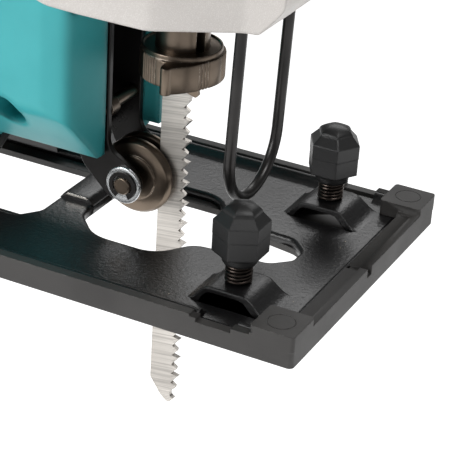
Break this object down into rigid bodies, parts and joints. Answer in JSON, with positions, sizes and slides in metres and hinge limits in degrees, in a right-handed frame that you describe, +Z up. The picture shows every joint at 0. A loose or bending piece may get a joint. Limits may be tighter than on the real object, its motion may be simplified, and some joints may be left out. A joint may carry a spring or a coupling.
{
  "type": "jigsaw power tool",
  "caption": "Top-handle orbital jigsaw with a two-shell plastic body, a grey nose, a tilting steel sole in a plastic shoe, a guide roller and two guide-bar clamps.",
  "frame": {"origin": "where the blade's stroke axis crosses the underside of the sole", "axes": "+X is the cutting direction, +Y the tool's left side, +Z up along the plunger"},
  "size_m": [0.2234, 0.076, 0.2422],
  "materials": {
    "teal_plastic": "moulded nylon, fine spark texture, satin",
    "silver_paint": "warm light grey paint with a fine metallic speckle, matte",
    "black_paint": "black paint on pressed steel, orange-peel, semi-gloss",
    "black_plastic": "glass-filled black nylon, matte",
    "knob_plastic": "black plastic, fine blasted texture",
    "soft_rubber": "soft overmoulded rubber, matte",
    "black_steel": "black oxide steel, satin",
    "bright_steel": "ground steel",
    "blade_steel": "ground blade steel with slanted brush marks",
    "tool_steel": "machined steel with a brown oxide tint",
    "zinc_plate": "bright zinc plate",
    "spring_steel": "oiled dark spring wire",
    "lamination_steel": "stamped steel",
    "cast_aluminium": "die-cast aluminium",
    "copper": "enamelled copper",
    "brass": "brass",
    "bronze": "sintered bronze",
    "carbon": "pressed carbon"
  },
  "bodies": {
    "tool": {"housing_right": "teal_plastic", "housing_left": "teal_plastic", "gear_cover_right": "silver_paint", "gear_cover_left": "silver_paint", "gear_case": "cast_aluminium", "handle_grip": "soft_rubber", "housing_screws": "black_steel", "cord_bush": "soft_rubber", "blade_guard": "black_steel", "fork_pivot_pin": "bright_steel", "swing_pivot_pin": "bright_steel", "gear_shaft": "bright_steel", "field_stator": "lamination_steel", "field_coils": "copper", "switch_body": "black_plastic", "front_bearing": "bright_steel", "rear_bearing": "bright_steel", "carbon_brushes": "carbon", "brush_holders": "brass", "dial_pin": "bright_steel", "bevel_bolt": "black_steel", "bevel_shoe": "bright_steel"},
    "sole": {"base_plate": "black_paint", "sole_cover": "black_plastic", "tilt_bracket": "black_paint", "bracket_rivets": "bright_steel"},
    "clamp_carrier_right": {"guide_spring_right": "spring_steel"},
    "clamp_right": {"guide_knob_right": "knob_plastic", "guide_screw_right": "black_steel"},
    "clamp_carrier_left": {"guide_spring_left": "spring_steel"},
    "clamp_left": {"guide_knob_left": "knob_plastic", "guide_screw_left": "black_steel"},
    "fork": {"roller_fork": "black_paint", "roller_axle": "tool_steel", "axle_washer": "zinc_plate", "axle_clip": "black_steel", "fork_pin": "tool_steel"},
    "roller": {"roller": "tool_steel"},
    "guide": {"swing_frame": "lamination_steel", "lower_bush": "bronze", "upper_bush": "bronze"},
    "plunger": {"plunger_rod": "bright_steel", "yoke": "tool_steel", "clamp_sleeve": "tool_steel", "blade": "blade_steel"},
    "collar": {"clamp_collar": "tool_steel"},
    "armature": {"armature_shaft": "bright_steel", "armature_core": "lamination_steel", "armature_windings": "copper", "commutator": "copper", "cooling_fan": "black_plastic"},
    "crank": {"drive_gear": "bright_steel", "crank_pin": "bright_steel", "balance_weight": "lamination_steel"},
    "selector": {"orbit_selector": "black_plastic"},
    "trigger": {"trigger": "black_plastic"},
    "lock": {"lock_button": "black_plastic"},
    "dial": {"speed_dial": "black_plastic"}
  },
  "joints": [
    {"name": "sole_tilt", "type": "hinge", "parent": "tool", "child": "sole", "pos_m": [-0.056, 0, 0.002], "axis": [1, 0, 0], "range_deg": [-45, 45]},
    {"name": "clamp_travel_right", "type": "slide", "parent": "sole", "child": "clamp_carrier_right", "axis": [0, 0, 1], "range_m": [-0.0017, 0.0025], "deforming": ["guide_spring_right"]},
    {"name": "clamp_turn_right", "type": "hinge", "parent": "clamp_carrier_right", "child": "clamp_right", "pos_m": [0.0275, -0.023, 0.014], "axis": [0, 0, 1], "range_deg": [-720, 1080]},
    {"name": "clamp_travel_left", "type": "slide", "parent": "sole", "child": "clamp_carrier_left", "axis": [0, 0, 1], "range_m": [-0.0017, 0.0025], "deforming": ["guide_spring_left"]},
    {"name": "clamp_turn_left", "type": "hinge", "parent": "clamp_carrier_left", "child": "clamp_left", "pos_m": [0.0275, 0.023, 0.014], "axis": [0, 0, 1], "range_deg": [-720, 1080]},
    {"name": "guide_swing", "type": "hinge", "parent": "tool", "child": "guide", "pos_m": [-0.008, 0, 0.143], "axis": [0, -1, 0], "range_deg": [0, 0.65]},
    {"name": "plunger_stroke", "type": "slide", "parent": "guide", "child": "plunger", "axis": [0, 0, 1], "range_m": [0, 0.018]},
    {"name": "collar_turn", "type": "hinge", "parent": "plunger", "child": "collar", "pos_m": [0, 0, 0.041], "axis": [0, 0, 1], "range_deg": [0, 60], "stiffness_Nm_per_rad": 0.04, "springref_deg": -28.65},
    {"name": "fork_swing", "type": "hinge", "parent": "tool", "child": "fork", "pos_m": [-0.0175, 0, 0.06], "axis": [0, -1, 0], "range_deg": [0, 1.85]},
    {"name": "roller_spin", "type": "hinge", "parent": "fork", "child": "roller", "pos_m": [-0.0087, 0, 0.013], "axis": [0, 1, 0], "continuous": true},
    {"name": "armature_spin", "type": "hinge", "parent": "tool", "child": "armature", "pos_m": [-0.08, 0, 0.09], "axis": [1, 0, 0], "continuous": true},
    {"name": "crank_spin", "type": "hinge", "parent": "tool", "child": "crank", "pos_m": [-0.02, 0, 0.1152], "axis": [1, 0, 0], "continuous": true},
    {"name": "orbit_select", "type": "hinge", "parent": "tool", "child": "selector", "pos_m": [-0.03, 0.026, 0.044], "axis": [0, -1, 0], "range_deg": [0, 90]},
    {"name": "trigger_pull", "type": "slide", "parent": "tool", "child": "trigger", "axis": [0, 0, 1], "range_m": [0, 0.006], "stiffness_N_per_m": 600, "springref_m": -0.006},
    {"name": "lock_press", "type": "slide", "parent": "tool", "child": "lock", "axis": [0, -1, 0], "range_m": [0, 0.003], "stiffness_N_per_m": 400, "springref_m": -0.002},
    {"name": "dial_turn", "type": "hinge", "parent": "tool", "child": "dial", "pos_m": [-0.138, 0, 0.182], "axis": [0, 1, 0], "range_deg": [0, 300]}
  ],
  "couplings": [
    {"joint": "clamp_travel_right", "follows": "clamp_turn_right", "m_per_rad": 0.00012732},
    {"joint": "clamp_travel_left", "follows": "clamp_turn_left", "m_per_rad": 0.00012732},
    {"joint": "fork_swing", "follows": "guide_swing", "ratio": 2.766},
    {"joint": "crank_spin", "follows": "armature_spin", "ratio": -0.16667}
  ]
}
